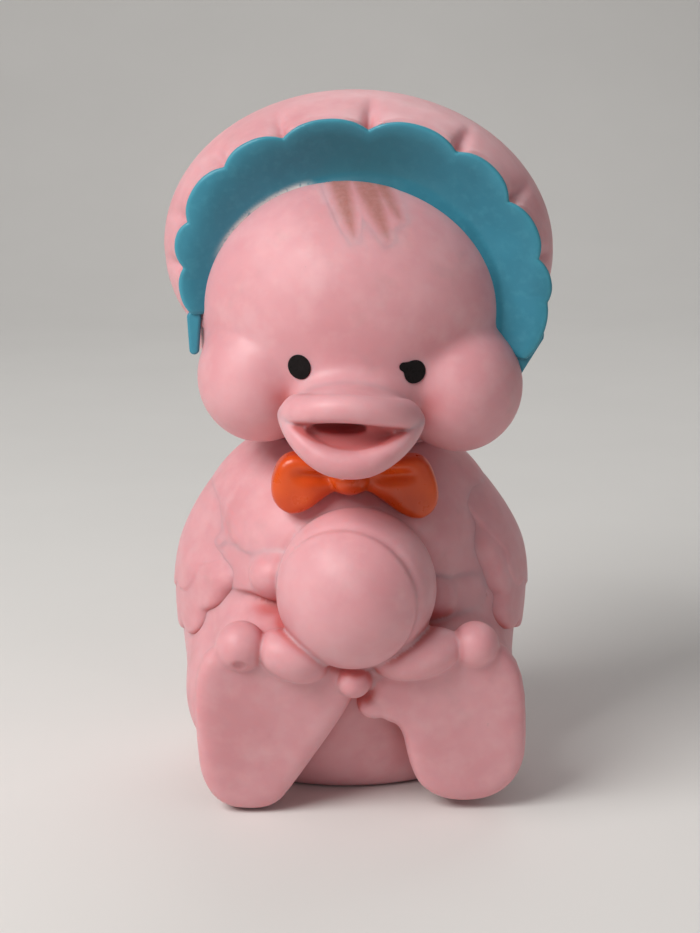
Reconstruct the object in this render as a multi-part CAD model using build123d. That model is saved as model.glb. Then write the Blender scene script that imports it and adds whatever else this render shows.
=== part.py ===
from build123d import *
import os
from math import cos, radians, sin

# A hollow squeeze toy of soft rubber: a seated duckling in a scalloped bonnet, holding a ball.
# Millimetres. +Z is up, the face looks along -Y, and the base rests on Z = 0.
# "left" and "right" are the duckling's own sides: its left is +X.

# ---------------------------------------------------------------- driving dimensions
HEIGHT = 130.0            # top of the bonnet
CROWN_HALF_WIDTH = 36.8   # the bonnet is the widest part
HALF_DEPTH = 40.25        # from the middle to the ball in front, and to the bonnet behind
WALL = 2.2                # rubber wall of the hollow mouldings
PAINT = 0.3               # thickness of a painted film
NECK_Z = 66.0             # the crease between head and body
CREASE = 0.3              # gap left at the crease, so that the neck can twist
NECK_HOLE_R = 9.0         # air passes between head and body here

# The head leans a little to its left and looks a little to its right.
HEAD_X, NECK_Y = -0.34, 6.0
HEAD_ROLL, HEAD_YAW = 2.5, -2.3
# The body sits a little to the right, and its front points a little to the left.
BODY_X, BODY_YAW = -2.54, 2.0

# ---------------------------------------------------------------- ellipsoids: centre, radii
CROWN = ((0, 5, 101), (CROWN_HALF_WIDTH, HALF_DEPTH - 5, HEIGHT - 101))
CRANIUM = ((-1, 3.3, 93), (27.5, 28, 27))
CHEEK = ((18.2, -9.8, 79), (12, 13, 12.5))
JAW = ((0, 0, 77), (22, 20, 13.5))
UPPER_BILL = ((0, -28.6, 77.6), (14, 11, 4.0))
LOWER_BILL = ((0, -27.6, 72.6), (13.2, 11.5, 6.3))
MOUTH = ((0, -38, 75.2), (9.5, 9, 2.7))

BELLY = ((0, 7, 30), (31.5, 28, 34))
CHEST = ((0, 6, 50), (25.5, 22.5, 22))
HIPS = ((0, 7, 12), (33, 24, 24))
LEG = ((21, -6, 15), (12.5, 18, 15))
OUTLINE = ((0, 6, 31), (35.4, 32, 40.5))  # the body's sides with the wings on
WING = ((25, 10, 42), (15, 19, 20))
HAND = ((18, -15.2, 45.5), (7, 7.5, 4))
WING_FRONT_Y = -7.3       # the wing moves in behind the hand, so it ends here
KNOT = ((0.4, -19.3, 62.6), (4.2, 4.4, 3.1))
BALL_CENTRE, BALL_R = (0.6, 14.6 - HALF_DEPTH, 44), 14.6

BRIM_Y = -8.0             # the plane where the bonnet's crown ends and its brim begins
BRIM_THICK = 3.0
BRIM_CENTRE_Z = 96.0
BRIM_RADII = (35.3, 30.6)  # to the tips of the scallops
BRIM_NOTCH = 0.93         # a notch's share of those radii
NOTCH_ANGLES = (0, 31, 54, 75, 90, 107)  # from the top, the same on both sides

TIE_X, TIE_Z, TIE_SIZE = 30.2, 85.8, (2.0, 2.0, 6.4)
EYE_X, EYE_Z, EYE_R = 9.9, 83.2, (1.7, 2.2)
EYE_LEAN = 18.0
FACE_FRONT_Y = -20.0      # paint columns pass through the face about here
HAIR_Z, HAIR_HALF_WIDTH = 109.5, 1.5
HAIR_STROKES = ((-1.6, 7.0, -28.0), (3.0, 9.5, -24.0), (7.0, 5.0, -40.0))  # x, length, lean

BOW_Z, BOW_FRONT_Y, BOW_THICK = 62.7, -22.5, 8.0
FOOT_TOP_Y, FOOT_THICK, FOOT_LEAN = -26.0, 7.0, 9.0
BIG = 200.0               # larger than the whole toy
POLES = (90, 0, 0)        # turns each ellipsoid's poles onto Y, away from most cuts


# ---------------------------------------------------------------- helpers
def ellipsoid(shape, side=1, grow=0.0):
    """One ellipsoid, on the +X side or mirrored to -X, with every radius grown by the same amount."""
    (x, y, z), radii = shape
    return Pos(side * x, y, z) * scale(Rot(*POLES) * Sphere(1), by=tuple(r + grow for r in radii))


def above(z):
    """All space over a height."""
    return Pos(0, 0, z + BIG / 2) * Box(BIG, BIG, BIG)


def below(z):
    """All space under a height."""
    return Pos(0, 0, z - BIG / 2) * Box(BIG, BIG, BIG)


def behind(y):
    """All space on the +Y side of a plane."""
    return Pos(0, y + BIG / 2, HEIGHT / 2) * Box(BIG, BIG, BIG)


def head_pose(shape):
    """Leans and turns a part of the head about the neck."""
    neck = Pos(HEAD_X, NECK_Y, NECK_Z)
    return neck * Rot(0, HEAD_ROLL, 0) * Rot(0, 0, HEAD_YAW) * Pos(0, -NECK_Y, -NECK_Z) * shape


def body_pose(shape):
    """Turns a part of the body about the neck's axis."""
    return Pos(BODY_X, NECK_Y, 0) * Rot(0, 0, BODY_YAW) * Pos(0, -NECK_Y, 0) * shape


def neck_hole():
    """The air passage on the neck's own vertical axis."""
    return Pos(HEAD_X, NECK_Y, NECK_Z) * Cylinder(NECK_HOLE_R, 8 * WALL)


def write(name, shape):
    """One sub-part, one STEP file."""
    os.makedirs("parts", exist_ok=True)
    export_step(shape, f"parts/{name}.step")


# ---------------------------------------------------------------- head
def face_volume(grow=0.0):
    """The head in front of the bonnet: forehead, jaw and two cheeks."""
    whole = ellipsoid(CRANIUM, 1, grow) + ellipsoid(JAW, 1, grow)
    return whole + ellipsoid(CHEEK, 1, grow) + ellipsoid(CHEEK, -1, grow)


def crown_volume(grow=0.0):
    """The bonnet's round crown, behind the brim."""
    return ellipsoid(CROWN, 1, grow) & behind(BRIM_Y)


def face_skin(face):
    """Hollow face, open at the back into the crown's hollow."""
    hollow = face_volume(-WALL) & above(NECK_Z + CREASE / 2 + WALL)
    return face - hollow - crown_volume()


def bonnet_crown():
    """Hollow crown, which closes the back and the nape of the head."""
    return crown_volume() - crown_volume(-WALL) - face_volume(-WALL)


def scallop_outline():
    """The brim's outer edge as arcs from notch to notch, closed by a line under the cheeks."""
    angles = [-a for a in reversed(NOTCH_ANGLES[1:])] + list(NOTCH_ANGLES)

    def at(angle, share):
        x = BRIM_RADII[0] * share * sin(radians(angle))
        z = BRIM_CENTRE_Z + BRIM_RADII[1] * share * cos(radians(angle))
        return Vector(x, BRIM_Y, z)

    arcs = [
        ThreePointArc(at(a, BRIM_NOTCH), at((a + b) / 2, 1.0), at(b, BRIM_NOTCH))
        for a, b in zip(angles[:-1], angles[1:])
    ]
    chord = Line(at(angles[-1], BRIM_NOTCH), at(angles[0], BRIM_NOTCH))
    return make_face([*arcs, chord])


def bonnet_lining(face):
    """The brim: a scalloped horseshoe round the face, lined in blue."""
    plate = extrude(scallop_outline(), BRIM_THICK, dir=(0, -1, 0))
    return plate - face


def bonnet_tie(side, face, lining):
    """The end of the ribbon, from the brim's tip down to the cheek."""
    ribbon = Pos(side * TIE_X, BRIM_Y - BRIM_THICK / 2, TIE_Z) * Box(*TIE_SIZE)
    return ribbon - face - lining


def oval_column(half_width, half_height):
    """An oval bar along Y, which marks out a spot of paint."""
    return Rot(90, 0, 0) * scale(Cylinder(1, 24), by=(half_width, half_height, 1))


def eye(side, face):
    """A painted oval on the face."""
    place = Pos(side * EYE_X, FACE_FRONT_Y, EYE_Z) * Rot(0, -side * EYE_LEAN, 0)
    return (face_volume(PAINT) & place * oval_column(*EYE_R)) - face


def forelock(face):
    """Three painted strokes of hair under the brim."""
    strokes = Part() + [
        Pos(x, FACE_FRONT_Y, HAIR_Z) * Rot(0, lean, 0) * oval_column(HAIR_HALF_WIDTH, length / 2)
        for x, length, lean in HAIR_STROKES
    ]
    return (face_volume(PAINT) & strokes) - face


def bills(face):
    """Upper and lower bill, with the open mouth between them."""
    upper = ellipsoid(UPPER_BILL) - face - ellipsoid(MOUTH)
    lower = ellipsoid(LOWER_BILL) - face - ellipsoid(UPPER_BILL) - ellipsoid(MOUTH)
    return upper, lower


def make_head():
    """Every piece above the neck crease, by name."""
    face = face_volume()
    lining = bonnet_lining(face)
    upper, lower = bills(face)
    pieces = {
        "face_skin": face_skin(face),
        "bonnet_crown": bonnet_crown(),
        "bonnet_lining": lining,
        "bonnet_tie_left": bonnet_tie(1, face, lining),
        "bonnet_tie_right": bonnet_tie(-1, face, lining),
        "bill_upper": upper,
        "bill_lower": lower,
        "eye_left": eye(1, face),
        "eye_right": eye(-1, face),
        "forelock": forelock(face),
    }
    floor = above(NECK_Z + CREASE / 2)
    placed = {name: head_pose(shape) & floor for name, shape in pieces.items()}
    placed["face_skin"] = placed["face_skin"] - neck_hole()
    return placed


# ---------------------------------------------------------------- body
def body_volume(grow=0.0):
    """The seated pear shape with the two thighs."""
    whole = ellipsoid(BELLY, 1, grow) + ellipsoid(CHEST, 1, grow) + ellipsoid(HIPS, 1, grow)
    return whole + ellipsoid(LEG, 1, grow) + ellipsoid(LEG, -1, grow)


def foot_outline(side):
    """Webbed sole seen from the front: heel down, three toes up."""
    heel = [(13, 2.6), (20.5, 0), (27.6, 3.6)]
    outer = [(29.4, 14), (28.4, 27), (25.5, 35)]
    toes = [(19, 38.2), (12, 34.2), (6, 33), (0.5, 29.2), (-0.6, 24.5)]
    points = [Vector(side * x, 0, z) for x, z in heel + outer + toes]
    return make_face([Spline(*points), Line(points[-1], points[0])])


def foot(side):
    """One foot: a thick leaning plate with a ball of toe at each top corner."""
    plate = extrude(foot_outline(side), FOOT_THICK, dir=(0, 1, 0))
    toes = Pos(side * 19, 1, 33.6) * Sphere(4.4) + Pos(side * 9, 1.2, 31) * Sphere(3.6)
    leaning = Pos(0, FOOT_TOP_Y, 0) * Rot(FOOT_LEAN, 0, 0) * (plate + toes)
    return leaning & above(0)


# ---------------------------------------------------------------- bow tie
def bow_loop(side):
    """One loop of the bow: a fan that widens from the knot, rounded in front."""
    outline = [(2.5, -2.4), (7.6, -4.8), (12.2, -5.6), (13.9, -0.8), (12.8, 3.1), (7.8, 2.4), (2.5, 2.2)]
    points = [Vector(side * x, BOW_FRONT_Y, BOW_Z + z) for x, z in outline]
    edges = [Spline(*points), Line(points[-1], points[0])]
    fan = extrude(make_face(edges), BOW_THICK, dir=(0, 1, 0))
    return chamfer(fan.faces().sort_by(Axis.Y)[0].edges(), 1.0)


def make_bow(solid_body, ball):
    """Two loops and a knot on the chest, under the bill."""
    ceiling = below(NECK_Z - CREASE / 2)
    knot = ellipsoid(KNOT)
    pieces = {"bow_knot": knot - solid_body - ball}
    for name, side in (("bow_loop_left", 1), ("bow_loop_right", -1)):
        pieces[name] = (bow_loop(side) & ceiling) - knot - solid_body - ball
    return pieces


# ---------------------------------------------------------------- squeaker in the base
SQUEAKER_Y = 6.0          # on the base, under the neck
GRIP_R = 8.0              # the hole in the rubber base that grips the squeaker's groove
FLANGE_R, FLANGE_LOW, FLANGE_HIGH = 10.0, 0.6, 1.8
RECESS_GAP = 0.4          # round the flange, which lies in a recess of the base
BARB_R, BARB_HIGH = 9.3, 6.4
CUP_R, CUP_BORE_R, CUP_HIGH = 7.4, 6.2, 13.0
CAP_LOW, CAP_HIGH, CAP_HOLE_R, CAP_HOLES = 0.8, 2.3, 0.8, 6
CAP_RING_R = 3.4          # the cap's outer holes lie on this circle
TUBE_R, TUBE_BORE_R, TUBE_LOW, TUBE_HIGH = 2.6, 1.7, 3.4, 20.0
ROOF_THICK = 1.6          # the cup's roof, which holds the tube
REED_WIDTH, REED_THICK = 2.6, 0.15
REED_FOOT_Z, REED_HINGE_Z, REED_TIP_Z = 13.3, 14.6, 19.4
REED_SPLIT = 0.02         # between the clamped root and the beating tongue
REED_FLAT_Y = -1.2        # the flat cut on the tube that the reed lies over
REED_LIFT = 0.12          # air gap under the resting reed
CLAMP_THICK = 1.2


def squeaker_cup():
    """Moulded cup with a groove for the rubber base and a seat for the reed tube in its roof."""
    profile = Polyline(
        (CUP_BORE_R, FLANGE_LOW), (FLANGE_R, FLANGE_LOW), (FLANGE_R, FLANGE_HIGH),
        (GRIP_R, FLANGE_HIGH), (GRIP_R, FLANGE_HIGH + WALL), (BARB_R, FLANGE_HIGH + WALL),
        (CUP_R, BARB_HIGH), (CUP_R, CUP_HIGH), (TUBE_R, CUP_HIGH), (TUBE_R, CUP_HIGH - ROOF_THICK),
        (CUP_BORE_R, CUP_HIGH - ROOF_THICK), (CUP_BORE_R, FLANGE_LOW),
    )
    return revolve(Plane.XZ * make_face(profile), Axis.Z)


def squeaker_cap():
    """Pierced disc pressed into the mouth of the cup."""
    disc = Pos(0, 0, (CAP_LOW + CAP_HIGH) / 2) * Cylinder(CUP_BORE_R, CAP_HIGH - CAP_LOW)
    hole = Cylinder(CAP_HOLE_R, 4 * CAP_HIGH)
    disc = disc - hole
    for place in PolarLocations(CAP_RING_R, CAP_HOLES):
        disc = disc - place * hole
    return disc


def reed_tube():
    """Tube through the cup's roof, closed on top, with its side cut flat where the reed beats."""
    length = TUBE_HIGH - TUBE_LOW
    tube = Pos(0, 0, TUBE_LOW + length / 2) * Cylinder(TUBE_R, length)
    bore = Pos(0, 0, TUBE_LOW + length / 2 - 1) * Cylinder(TUBE_BORE_R, length)
    flat = Pos(0, REED_FLAT_Y - BIG / 2, REED_FOOT_Z + BIG / 2) * Box(BIG, BIG, BIG)
    return tube - bore - flat


def reed_strip(low, high):
    """A length of the thin reed strip, over the tube's flat."""
    middle = Pos(0, REED_FLAT_Y - REED_LIFT - REED_THICK / 2, (low + high) / 2)
    return middle * Box(REED_WIDTH, REED_THICK, high - low)


def reed_clamp():
    """Block that holds the reed's root against the tube."""
    outside = REED_FLAT_Y - REED_LIFT - REED_THICK - CLAMP_THICK / 2
    middle = Pos(0, outside, (REED_FOOT_Z + REED_HINGE_Z) / 2)
    return middle * Box(REED_WIDTH, CLAMP_THICK, REED_HINGE_Z - REED_FOOT_Z)


def reed_shim():
    """Pad that fills the lift between the reed's root and the tube's flat."""
    middle = Pos(0, REED_FLAT_Y - REED_LIFT / 2, (REED_FOOT_Z + REED_HINGE_Z) / 2)
    return middle * Box(REED_WIDTH, REED_LIFT, REED_HINGE_Z - REED_FOOT_Z)


def make_squeaker():
    """The noise maker, in its own frame with its axis on Z."""
    return {
        "squeaker_cup": squeaker_cup(),
        "squeaker_cap": squeaker_cap(),
        "reed_tube": reed_tube(),
        "reed_clamp": reed_clamp(),
        "reed_shim": reed_shim(),
        "reed_root": reed_strip(REED_FOOT_Z, REED_HINGE_Z),
        "reed_tongue": reed_strip(REED_HINGE_Z + REED_SPLIT, REED_TIP_Z),
    }


def make_body():
    """Every piece below the neck crease, by name."""
    solid_body = body_volume() & above(0) & below(NECK_Z - CREASE / 2)
    hollow = body_volume(-WALL) & above(FLANGE_HIGH + WALL) & below(NECK_Z - CREASE / 2 - WALL)
    ball = Pos(*BALL_CENTRE) * Sphere(BALL_R)
    feet = {"foot_right": foot(-1), "foot_left": foot(1)}
    feet["foot_left"] = feet["foot_left"] - feet["foot_right"]
    pieces = {name: shape - solid_body - ball for name, shape in feet.items()}
    for name, side in (("hand_left", 1), ("hand_right", -1)):
        pieces[name] = ellipsoid(HAND, side) - solid_body - ball
    pieces["ball"] = ball - Pos(*BALL_CENTRE) * Sphere(BALL_R - WALL)
    pieces.update(make_bow(solid_body, ball))
    recess = Pos(0, SQUEAKER_Y, FLANGE_HIGH / 2) * Cylinder(FLANGE_R + RECESS_GAP, FLANGE_HIGH)
    grip = Pos(0, SQUEAKER_Y, WALL) * Cylinder(GRIP_R, 4 * WALL)
    pieces["body_skin"] = solid_body - hollow - ball - recess - grip
    pieces = {name: body_pose(shape) for name, shape in pieces.items()}
    pieces["body_skin"] = pieces["body_skin"] - neck_hole()
    return pieces


def make_wings():
    """The two wings, pads over the body's sides with a small gap behind them."""
    backing = body_volume(CREASE)
    return {
        name: body_pose((ellipsoid(WING, side) & ellipsoid(OUTLINE) & behind(WING_FRONT_Y)) - backing)
        for name, side in (("wing_left", 1), ("wing_right", -1))
    }


def main():
    """Writes every sub-part."""
    parts = {**make_head(), **make_body(), **make_wings()}
    for name, shape in make_squeaker().items():
        parts[name] = body_pose(Pos(0, SQUEAKER_Y, 0) * shape)
    for name, shape in parts.items():
        write(name, shape)


main()
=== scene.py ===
"""Looks of a squeaky rubber duckling in a bonnet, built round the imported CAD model.

Each moulded form is a distance field in millimetres, in the head's or the body's own frame. A field is
negative inside the form. The forms of one group are blended into one skin with soft fillets, and the
skin is cut into closed pieces along its creases, so that every piece stands for its own CAD node.
"""

import math
from functools import partial

import bpy
import numpy as np
from mathutils import Matrix, Vector


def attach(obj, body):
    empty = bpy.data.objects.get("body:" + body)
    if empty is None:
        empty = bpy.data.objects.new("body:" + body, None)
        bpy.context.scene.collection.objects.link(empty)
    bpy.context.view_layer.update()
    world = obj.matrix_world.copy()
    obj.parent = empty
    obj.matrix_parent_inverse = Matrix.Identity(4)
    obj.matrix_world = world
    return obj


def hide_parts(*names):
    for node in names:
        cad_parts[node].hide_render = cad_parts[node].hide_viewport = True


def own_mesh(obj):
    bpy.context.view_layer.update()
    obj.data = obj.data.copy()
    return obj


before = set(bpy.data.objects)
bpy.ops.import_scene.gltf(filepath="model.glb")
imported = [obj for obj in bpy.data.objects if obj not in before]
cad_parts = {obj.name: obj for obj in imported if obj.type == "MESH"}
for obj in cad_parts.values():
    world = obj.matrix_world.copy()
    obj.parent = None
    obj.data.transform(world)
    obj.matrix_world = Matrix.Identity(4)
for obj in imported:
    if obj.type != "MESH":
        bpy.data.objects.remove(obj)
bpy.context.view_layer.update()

MM = 0.001
STEP_SCALE = 1.0

# Poses of the two moulded groups in the row frame, as in the CAD source.
NECK_Z = 66.0
AXIS_Y = 6.0
HEAD_POSE = (
    Matrix.Translation((-0.34, AXIS_Y, NECK_Z))
    @ Matrix.Rotation(math.radians(2.5), 4, "Y")
    @ Matrix.Rotation(math.radians(-2.3), 4, "Z")
    @ Matrix.Translation((0, -AXIS_Y, -NECK_Z))
)
BODY_POSE = (
    Matrix.Translation((-2.54, AXIS_Y, 0))
    @ Matrix.Rotation(math.radians(2.0), 4, "Z")
    @ Matrix.Translation((0, -AXIS_Y, 0))
)


# -------- distance fields

FLAT = 50.0  # depth radius of an ellipsoid that stands for a flat oval


def ellipsoid(p, centre, radii, turn=0.0):
    """Distance to an ellipsoid, which may be turned by an angle in degrees about Y."""
    q = p - np.array(centre, float)
    if turn:
        q = q @ np.array(Matrix.Rotation(math.radians(turn), 3, "Y"))
    r = np.array(radii, float)
    near = np.sqrt(((q / r) ** 2).sum(1))
    slope = np.sqrt(((q / r**2) ** 2).sum(1))
    return near * (near - 1) / np.maximum(slope, 1e-9)


def capsule(p, start, end, radius_start, radius_end):
    """Distance to a rod with round ends, which may taper."""
    a = np.array(start, float)
    d = np.array(end, float) - a
    t = np.clip(((p - a) @ d) / (d @ d), 0, 1)
    radius = radius_start + t * (radius_end - radius_start)
    return np.linalg.norm(p - a - t[:, None] * d, axis=1) - radius


def front_outline(corners, radius, p):
    """Distance, in the front view, to a closed outline whose corners are rounded outwards by radius."""
    u, v = p[:, 0], p[:, 2]
    c = np.array(corners, float)
    best = np.full(len(u), 1e9)
    inside = np.zeros(len(u), bool)
    for (au, av), (bu, bv) in zip(c, np.roll(c, -1, axis=0)):
        du, dv = bu - au, bv - av
        t = np.clip(((u - au) * du + (v - av) * dv) / (du * du + dv * dv), 0, 1)
        best = np.minimum(best, (u - au - t * du) ** 2 + (v - av - t * dv) ** 2)
        crosses = (av > v) != (bv > v)
        reach = au + (v - av) * du / (dv if dv else 1e-9)
        inside ^= crosses & (u < reach)
    distance = np.sqrt(best)
    return np.where(inside, -distance, distance) - radius


def join(a, b, fillet):
    """Union of two fields with a soft fillet."""
    h = np.maximum(fillet - np.abs(a - b), 0) / fillet
    return np.minimum(a, b) - h**3 * fillet / 6


def meet(a, b, rounding):
    """Intersection of two fields with a rounded edge."""
    return -join(-a, -b, rounding)


def cut(a, b, rounding):
    """The first field without the second."""
    return meet(a, -b, rounding)


def ease(value, start, end):
    """0 before start, 1 after end, smooth between."""
    t = np.clip((value - start) / (end - start), 0, 1)
    return t * t * (3 - 2 * t)


def slope_of(field, p, reach=0.05):
    """Gradient of a field by central differences."""
    out = np.empty_like(p)
    for axis in range(3):
        shift = np.zeros(3)
        shift[axis] = reach
        out[:, axis] = (field(p + shift) - field(p - shift)) / (2 * reach)
    return out


def within(p, low, high, field, far=12.0):
    """A field that is worked out only inside a box, and is taken as far away outside it."""
    out = np.full(len(p), far)
    inside = ((p > low) & (p < high)).all(1)
    if inside.any():
        out[inside] = field(p[inside])
    return out


# -------- meshing

SLAB = 400_000  # points a field is worked out for at one time
LAP = 0.06  # millimetres that each piece of a skin reaches past the seam, so that no slit shows


def sample(field, points):
    """A field's values at many points, in slabs that fit in memory."""
    parts = [field(points[i : i + SLAB]) for i in range(0, len(points), SLAB)]
    return np.concatenate(parts)


def region_of(forms, index):
    """A field for where one of the forms is nearer than all the others, and its lap past the seam."""

    def region(p):
        fields = list(forms(p))
        own = fields.pop(index)
        return (own - np.minimum.reduce(fields)) / 2 - LAP

    return region


def value_and_slope(field, p, reach=0.02):
    """A field and its gradient by forward differences, for steps that need no more accuracy."""
    value = sample(field, p)
    ahead = [sample(field, p + reach * unit) for unit in np.eye(3)]
    return value, (np.stack(ahead, 1) - value[:, None]) / reach


LONGEST_MOVE = 0.6  # of a grid step, in one Newton step
FARTHEST = 0.75  # of a grid step, that a vertex may lie from the middle of its own cell


def moved(points, home, move, step):
    """Points after a move, which is cut short so that they stay near their own cells."""
    size = np.linalg.norm(move, axis=1, keepdims=True)
    move = move * np.minimum(1, LONGEST_MOVE * step / np.maximum(size, 1e-9))
    return np.clip(points + move, home - FARTHEST * step, home + FARTHEST * step)


def approach(points, home, field, step, rounds):
    """Newton steps of points onto one field's surface."""
    for _ in range(rounds):
        value, slope = value_and_slope(field, points)
        move = -value[:, None] * slope / np.maximum((slope**2).sum(1), 0.05)[:, None]
        points = moved(points, home, move, step)
    return points


def approach_edge(points, home, fields, step, rounds):
    """Newton steps of points onto the curve where two fields are both zero."""
    for _ in range(rounds):
        (a, slope_a), (b, slope_b) = (value_and_slope(f, points) for f in fields)
        aa = (slope_a**2).sum(1) + 1e-3
        bb = (slope_b**2).sum(1) + 1e-3
        ab = (slope_a * slope_b).sum(1)
        det = np.maximum(aa * bb - ab * ab, 1e-2 * aa * bb)
        share_a = ((a * bb - b * ab) / det)[:, None]
        share_b = ((b * aa - a * ab) / det)[:, None]
        points = moved(points, home, -(share_a * slope_a + share_b * slope_b), step)
    return points


def settle(points, home, fields, sharp, step):
    """Moves each vertex onto the surface, and the sharp ones onto the edge where two fields meet."""
    label = np.argmax(np.stack([sample(f, points) for f in fields]), axis=0)
    for index, field in enumerate(fields):
        own = (label == index) & ~sharp
        if own.any():
            points[own] = approach(points[own], home[own], field, step, 3)
    if sharp.any():
        edge = approach_edge(points[sharp], home[sharp], fields, step, 3)
        points[sharp] = approach(edge, home[sharp], fields[0], step, 2)
    return points, label


BLOCK = 6  # grid points along one side of a block


def grid_values(fields, low, step, counts):
    """The fields' values on a grid. Blocks far from the surface take the values of their middles."""
    blocks = -(-counts // BLOCK)
    index = np.stack(np.meshgrid(*(np.arange(n) for n in blocks), indexing="ij"), -1).reshape(-1, 3)
    middles = low + step * (index * BLOCK + (BLOCK - 1) / 2)
    coarse = [sample(f, middles) for f in fields]
    reach = 1.3 * step * (BLOCK - 1) / 2 * math.sqrt(3) + 0.4
    near = np.abs(np.maximum.reduce(coarse)) < reach
    offsets = np.stack(np.meshgrid(*[np.arange(BLOCK)] * 3, indexing="ij"), -1).reshape(-1, 3)
    fine = (index[near][:, None, :] * BLOCK + offsets[None]).reshape(-1, 3)
    out = []
    for field, rough in zip(fields, coarse):
        values = rough.reshape(blocks)
        for axis in range(3):
            values = np.repeat(values, BLOCK, axis=axis)
        values[tuple(fine.T)] = sample(field, low + step * fine)
        out.append(values[: counts[0], : counts[1], : counts[2]])
    return out


def contour(fields, low, high, step):
    """Closed quad mesh of the space where every field is negative, as (vertices, quads, cap flags).

    The first field is the skin. A second one, if there is one, is where the piece is cut off from its
    neighbours, and the flags tell which quads lie on that cut.
    """
    low, high = np.array(low, float), np.array(high, float)
    step = step * STEP_SCALE
    counts = np.ceil((high - low) / step).astype(int) + 1
    values = grid_values(fields, low, step, counts)
    solid = np.maximum.reduce(values)
    inside = solid < 0

    offsets = np.array([(i, j, k) for i in (0, 1) for j in (0, 1) for k in (0, 1)])
    cells_shape = counts - 1

    def mixed(flags):
        corners = [
            flags[i : i + cells_shape[0], j : j + cells_shape[1], k : k + cells_shape[2]]
            for i, j, k in offsets
        ]
        return np.logical_or.reduce(corners) & ~np.logical_and.reduce(corners)

    active = mixed(inside)
    cells = np.argwhere(active)
    number = np.full(cells_shape, -1)
    number[active] = np.arange(len(cells))
    sharp = np.zeros(len(cells), bool)
    if len(fields) > 1:
        sharp = (mixed(values[0] < 0) & mixed(values[1] < 0))[active]

    total = np.zeros((len(cells), 3))
    hits = np.zeros(len(cells))
    for axis in range(3):
        unit = np.eye(3, dtype=int)[axis]
        for offset in offsets[offsets[:, axis] == 0]:
            a = tuple((cells + offset).T)
            b = tuple((cells + offset + unit).T)
            va, vb = solid[a], solid[b]
            crossed = (va < 0) != (vb < 0)
            t = np.where(crossed, va / np.where(crossed, va - vb, 1), 0)
            total += crossed[:, None] * (cells + offset + t[:, None] * unit)
            hits += crossed
    points = low + step * total / hits[:, None]
    home = low + step * (cells + 0.5)
    points, label = settle(points, home, fields, sharp, step)

    quads = []
    for axis in range(3):
        u, v = (axis + 1) % 3, (axis + 2) % 3
        near = [slice(None)] * 3
        far = [slice(None)] * 3
        near[axis], far[axis] = slice(0, -1), slice(1, None)
        first, second = inside[tuple(near)], inside[tuple(far)]
        for flip, crossing in ((False, first & ~second), (True, ~first & second)):
            at = np.argwhere(crossing)
            across = at[:, (u, v)]
            at = at[((across > 0) & (across < cells_shape[[u, v]])).all(1)]
            ring = []
            for du, dv in ((1, 1), (0, 1), (0, 0), (1, 0)):
                cell = at.copy()
                cell[:, u] -= du
                cell[:, v] -= dv
                ring.append(number[tuple(cell.T)])
            ring = np.stack(ring, 1)
            quads.append(ring[:, ::-1] if flip else ring)
    quads = np.concatenate(quads)
    caps = np.zeros(len(quads), bool)
    if len(fields) > 1:
        middle = points[quads].mean(1)
        plain = ~sharp[quads]
        on_cut = (plain & (label[quads] == 1)).any(1)
        on_skin = (plain & (label[quads] == 0)).any(1)
        nearer_cut = np.abs(sample(fields[0], middle)) > np.abs(sample(fields[1], middle))
        caps = np.where(on_cut == on_skin, nearer_cut, on_cut)
    return points, quads, caps


def largest_shell(points, quads, caps):
    """Drops loose crumbs: keeps only the connected shell with the most quads, and its own vertices."""
    root = np.arange(len(points))
    while True:
        low = root[quads].min(1)
        new = root.copy()
        for corner in range(4):
            np.minimum.at(new, quads[:, corner], low)
        new = new[new]
        if (new == root).all():
            break
        root = new
    shell = root[quads[:, 0]]
    names, sizes = np.unique(shell, return_counts=True)
    keep = shell == names[np.argmax(sizes)]
    quads, caps = quads[keep], caps[keep]
    used, renumbered = np.unique(quads, return_inverse=True)
    return points[used], renumbered.reshape(-1, 4), caps


def mesh_piece(name, points, quads, pose, material, normals=None, marks=None):
    """A Blender object from local millimetres. normals are per corner, and marks are per vertex."""
    rotation = np.array(pose.to_3x3())
    world = (points @ rotation.T + np.array(pose.translation)) * MM
    mesh = bpy.data.meshes.new(name)
    mesh.vertices.add(len(world))
    mesh.vertices.foreach_set("co", world.ravel())
    mesh.loops.add(quads.size)
    mesh.loops.foreach_set("vertex_index", quads.ravel().astype(np.int32))
    mesh.polygons.add(len(quads))
    mesh.polygons.foreach_set("loop_start", np.arange(0, quads.size, 4, dtype=np.int32))
    mesh.polygons.foreach_set("use_smooth", np.ones(len(quads), bool))
    for mark, value in (marks or {}).items():
        layer = mesh.attributes.new(mark, "FLOAT", "POINT")
        layer.data.foreach_set("value", np.asarray(value, np.float32))
    mesh.update()
    mesh.validate()
    if normals is not None:
        turned = normals @ rotation.T
        mesh.normals_split_custom_set(turned.tolist())
    mesh.materials.append(material)
    piece = bpy.data.objects.new(name, mesh)
    bpy.context.scene.collection.objects.link(piece)
    return piece


def unit_rows(v):
    return v / np.maximum(np.linalg.norm(v, axis=1, keepdims=True), 1e-9)


def hollow(field, points, normals, reach):
    """How enclosed each point is, 0 in the open and 1 deep in a fold, within reach millimetres; it sets
    the painted shade.
    """
    near = sample(field, points + normals * reach) / reach
    wide = sample(field, points + normals * reach * 2.5) / (reach * 2.5)
    return np.clip(1 - 0.5 * (near + wide), 0, 1)


# How far round each point the painted shade of the creases looks for enclosing skin.
CREASE_SHADE_REACH = 2.2  # millimetres


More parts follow.
